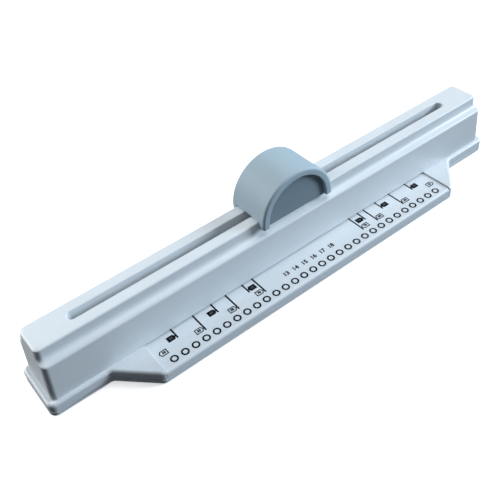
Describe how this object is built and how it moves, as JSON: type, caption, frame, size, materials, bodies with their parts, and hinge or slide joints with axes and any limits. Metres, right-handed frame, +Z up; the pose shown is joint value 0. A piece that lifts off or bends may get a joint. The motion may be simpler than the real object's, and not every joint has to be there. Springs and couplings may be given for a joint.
{
  "type": "sliding multi-hole paper punch",
  "caption": "Desk punch for loose-leaf sheets: a knob slides along a long white casing and presses a row of sprung punches over a flat paper table.",
  "frame": {"origin": "on the desk, under the middle of the whole object's box", "axes": "+X along the punch to the right as the user faces the paper table, +Y from the table towards the rear, +Z up"},
  "size_m": [0.455, 0.074, 0.091],
  "materials": {
    "casing_white": "satin moulded",
    "table_white": "satin moulded, printed",
    "door_grey": "moulded",
    "plated_steel": "zinc plated",
    "ground_steel": "ground",
    "punch_steel": "turned and hardened",
    "bright_steel": "drawn",
    "spring_steel": "wound wire",
    "screw_steel": "plated",
    "carriage_black": "moulded acetal",
    "wheel_white": "moulded acetal",
    "knob_grey": "fine texture",
    "knob_face_grey": "fine texture",
    "black_rubber": "moulded"
  },
  "bodies": {
    "casing": {"top_cover": "casing_white", "base_shell": "casing_white", "scale_plate": "table_white", "door_hinge_pins": "bright_steel", "die_plate": "ground_steel", "throat_spacer": "plated_steel", "punch_channel": "plated_steel", "upper_guide": "plated_steel", "guide_rivets": "bright_steel", "left_channel_bracket": "plated_steel", "right_channel_bracket": "plated_steel", "end_bumpers": "black_rubber", "bracket_screws": "screw_steel", "return_springs": "spring_steel", "case_screws": "screw_steel", "frame_screws": "screw_steel", "rubber_feet": "black_rubber"},
    "knob_carriage": {"carriage": "carriage_black", "cam_shoe": "ground_steel", "knob_shell": "knob_grey", "knob_front_panel": "knob_face_grey", "knob_rear_panel": "knob_face_grey", "knob_screws": "screw_steel"},
    "left_wheelset": {"left_axle": "bright_steel", "left_wheels": "wheel_white"},
    "right_wheelset": {"right_axle": "bright_steel", "right_wheels": "wheel_white"},
    "chip_door": {"chip_door": "door_grey"},
    "punch_01": {"punch_01": "punch_steel"},
    "punch_02": {"punch_02": "punch_steel"},
    "punch_03": {"punch_03": "punch_steel"},
    "punch_04": {"punch_04": "punch_steel"},
    "punch_05": {"punch_05": "punch_steel"},
    "punch_06": {"punch_06": "punch_steel"},
    "punch_07": {"punch_07": "punch_steel"},
    "punch_08": {"punch_08": "punch_steel"},
    "punch_09": {"punch_09": "punch_steel"},
    "punch_10": {"punch_10": "punch_steel"},
    "punch_11": {"punch_11": "punch_steel"},
    "punch_12": {"punch_12": "punch_steel"},
    "punch_13": {"punch_13": "punch_steel"},
    "punch_14": {"punch_14": "punch_steel"},
    "punch_15": {"punch_15": "punch_steel"},
    "punch_16": {"punch_16": "punch_steel"},
    "punch_17": {"punch_17": "punch_steel"},
    "punch_18": {"punch_18": "punch_steel"},
    "punch_19": {"punch_19": "punch_steel"},
    "punch_20": {"punch_20": "punch_steel"},
    "punch_21": {"punch_21": "punch_steel"},
    "punch_22": {"punch_22": "punch_steel"},
    "punch_23": {"punch_23": "punch_steel"},
    "punch_24": {"punch_24": "punch_steel"},
    "punch_25": {"punch_25": "punch_steel"},
    "punch_26": {"punch_26": "punch_steel"},
    "punch_27": {"punch_27": "punch_steel"},
    "punch_28": {"punch_28": "punch_steel"},
    "punch_29": {"punch_29": "punch_steel"},
    "punch_30": {"punch_30": "punch_steel"}
  },
  "joints": [
    {"name": "knob_slide", "type": "slide", "parent": "casing", "child": "knob_carriage", "axis": [1, 0, 0], "range_m": [-0.1707, 0.1653]},
    {"name": "left_wheels_roll", "type": "hinge", "parent": "knob_carriage", "child": "left_wheelset", "pos_m": [-0.0213, 0.0138, 0.0393], "axis": [0, 1, 0], "continuous": true},
    {"name": "right_wheels_roll", "type": "hinge", "parent": "knob_carriage", "child": "right_wheelset", "pos_m": [0.0267, 0.0138, 0.0393], "axis": [0, 1, 0], "continuous": true},
    {"name": "chip_door_hinge", "type": "hinge", "parent": "casing", "child": "chip_door", "pos_m": [0, 0.02521, 0.0031], "axis": [1, 0, 0], "range_deg": [0, 95]},
    {"name": "punch_01_stroke", "type": "slide", "parent": "casing", "child": "punch_01", "axis": [0, 0, 1], "range_m": [-0.005, 0], "stiffness_N_per_m": 700, "springref_m": 0.003, "deforming": ["return_springs"]},
    {"name": "punch_02_stroke", "type": "slide", "parent": "casing", "child": "punch_02", "axis": [0, 0, 1], "range_m": [-0.005, 0], "stiffness_N_per_m": 700, "springref_m": 0.003, "deforming": ["return_springs"]},
    {"name": "punch_03_stroke", "type": "slide", "parent": "casing", "child": "punch_03", "axis": [0, 0, 1], "range_m": [-0.005, 0], "stiffness_N_per_m": 700, "springref_m": 0.003, "deforming": ["return_springs"]},
    {"name": "punch_04_stroke", "type": "slide", "parent": "casing", "child": "punch_04", "axis": [0, 0, 1], "range_m": [-0.005, 0], "stiffness_N_per_m": 700, "springref_m": 0.003, "deforming": ["return_springs"]},
    {"name": "punch_05_stroke", "type": "slide", "parent": "casing", "child": "punch_05", "axis": [0, 0, 1], "range_m": [-0.005, 0], "stiffness_N_per_m": 700, "springref_m": 0.003, "deforming": ["return_springs"]},
    {"name": "punch_06_stroke", "type": "slide", "parent": "casing", "child": "punch_06", "axis": [0, 0, 1], "range_m": [-0.005, 0], "stiffness_N_per_m": 700, "springref_m": 0.003, "deforming": ["return_springs"]},
    {"name": "punch_07_stroke", "type": "slide", "parent": "casing", "child": "punch_07", "axis": [0, 0, 1], "range_m": [-0.005, 0], "stiffness_N_per_m": 700, "springref_m": 0.003, "deforming": ["return_springs"]},
    {"name": "punch_08_stroke", "type": "slide", "parent": "casing", "child": "punch_08", "axis": [0, 0, 1], "range_m": [-0.005, 0], "stiffness_N_per_m": 700, "springref_m": 0.003, "deforming": ["return_springs"]},
    {"name": "punch_09_stroke", "type": "slide", "parent": "casing", "child": "punch_09", "axis": [0, 0, 1], "range_m": [-0.005, 0], "stiffness_N_per_m": 700, "springref_m": 0.003, "deforming": ["return_springs"]},
    {"name": "punch_10_stroke", "type": "slide", "parent": "casing", "child": "punch_10", "axis": [0, 0, 1], "range_m": [-0.005, 0], "stiffness_N_per_m": 700, "springref_m": 0.003, "deforming": ["return_springs"]},
    {"name": "punch_11_stroke", "type": "slide", "parent": "casing", "child": "punch_11", "axis": [0, 0, 1], "range_m": [-0.005, 0], "stiffness_N_per_m": 700, "springref_m": 0.003, "deforming": ["return_springs"]},
    {"name": "punch_12_stroke", "type": "slide", "parent": "casing", "child": "punch_12", "axis": [0, 0, 1], "range_m": [-0.005, 0], "stiffness_N_per_m": 700, "springref_m": 0.003, "deforming": ["return_springs"]},
    {"name": "punch_13_stroke", "type": "slide", "parent": "casing", "child": "punch_13", "axis": [0, 0, 1], "range_m": [-0.005, 0], "stiffness_N_per_m": 700, "springref_m": 0.003, "deforming": ["return_springs"]},
    {"name": "punch_14_stroke", "type": "slide", "parent": "casing", "child": "punch_14", "axis": [0, 0, 1], "range_m": [-0.005, 0], "stiffness_N_per_m": 700, "springref_m": 0.003, "deforming": ["return_springs"]},
    {"name": "punch_15_stroke", "type": "slide", "parent": "casing", "child": "punch_15", "axis": [0, 0, 1], "range_m": [-0.005, 0], "stiffness_N_per_m": 700, "springref_m": 0.003, "deforming": ["return_springs"]},
    {"name": "punch_16_stroke", "type": "slide", "parent": "casing", "child": "punch_16", "axis": [0, 0, 1], "range_m": [-0.005, 0], "stiffness_N_per_m": 700, "springref_m": 0.003, "deforming": ["return_springs"]},
    {"name": "punch_17_stroke", "type": "slide", "parent": "casing", "child": "punch_17", "axis": [0, 0, 1], "range_m": [-0.005, 0], "stiffness_N_per_m": 700, "springref_m": 0.003, "deforming": ["return_springs"]},
    {"name": "punch_18_stroke", "type": "slide", "parent": "casing", "child": "punch_18", "axis": [0, 0, 1], "range_m": [-0.005, 0], "stiffness_N_per_m": 700, "springref_m": 0.003, "deforming": ["return_springs"]},
    {"name": "punch_19_stroke", "type": "slide", "parent": "casing", "child": "punch_19", "axis": [0, 0, 1], "range_m": [-0.005, 0], "stiffness_N_per_m": 700, "springref_m": 0.003, "deforming": ["return_springs"]},
    {"name": "punch_20_stroke", "type": "slide", "parent": "casing", "child": "punch_20", "axis": [0, 0, 1], "range_m": [-0.005, 0], "stiffness_N_per_m": 700, "springref_m": 0.003, "deforming": ["return_springs"]},
    {"name": "punch_21_stroke", "type": "slide", "parent": "casing", "child": "punch_21", "axis": [0, 0, 1], "range_m": [-0.005, 0], "stiffness_N_per_m": 700, "springref_m": 0.003, "deforming": ["return_springs"]},
    {"name": "punch_22_stroke", "type": "slide", "parent": "casing", "child": "punch_22", "axis": [0, 0, 1], "range_m": [-0.005, 0], "stiffness_N_per_m": 700, "springref_m": 0.003, "deforming": ["return_springs"]},
    {"name": "punch_23_stroke", "type": "slide", "parent": "casing", "child": "punch_23", "axis": [0, 0, 1], "range_m": [-0.005, 0], "stiffness_N_per_m": 700, "springref_m": 0.003, "deforming": ["return_springs"]},
    {"name": "punch_24_stroke", "type": "slide", "parent": "casing", "child": "punch_24", "axis": [0, 0, 1], "range_m": [-0.005, 0], "stiffness_N_per_m": 700, "springref_m": 0.003, "deforming": ["return_springs"]},
    {"name": "punch_25_stroke", "type": "slide", "parent": "casing", "child": "punch_25", "axis": [0, 0, 1], "range_m": [-0.005, 0], "stiffness_N_per_m": 700, "springref_m": 0.003, "deforming": ["return_springs"]},
    {"name": "punch_26_stroke", "type": "slide", "parent": "casing", "child": "punch_26", "axis": [0, 0, 1], "range_m": [-0.005, 0], "stiffness_N_per_m": 700, "springref_m": 0.003, "deforming": ["return_springs"]},
    {"name": "punch_27_stroke", "type": "slide", "parent": "casing", "child": "punch_27", "axis": [0, 0, 1], "range_m": [-0.005, 0], "stiffness_N_per_m": 700, "springref_m": 0.003, "deforming": ["return_springs"]},
    {"name": "punch_28_stroke", "type": "slide", "parent": "casing", "child": "punch_28", "axis": [0, 0, 1], "range_m": [-0.005, 0], "stiffness_N_per_m": 700, "springref_m": 0.003, "deforming": ["return_springs"]},
    {"name": "punch_29_stroke", "type": "slide", "parent": "casing", "child": "punch_29", "axis": [0, 0, 1], "range_m": [-0.005, 0], "stiffness_N_per_m": 700, "springref_m": 0.003, "deforming": ["return_springs"]},
    {"name": "punch_30_stroke", "type": "slide", "parent": "casing", "child": "punch_30", "axis": [0, 0, 1], "range_m": [-0.005, 0], "stiffness_N_per_m": 700, "springref_m": 0.003, "deforming": ["return_springs"]}
  ],
  "couplings": [
    {"joint": "left_wheels_roll", "follows": "knob_slide", "rad_per_m": -222.22},
    {"joint": "right_wheels_roll", "follows": "knob_slide", "rad_per_m": -222.22}
  ]
}
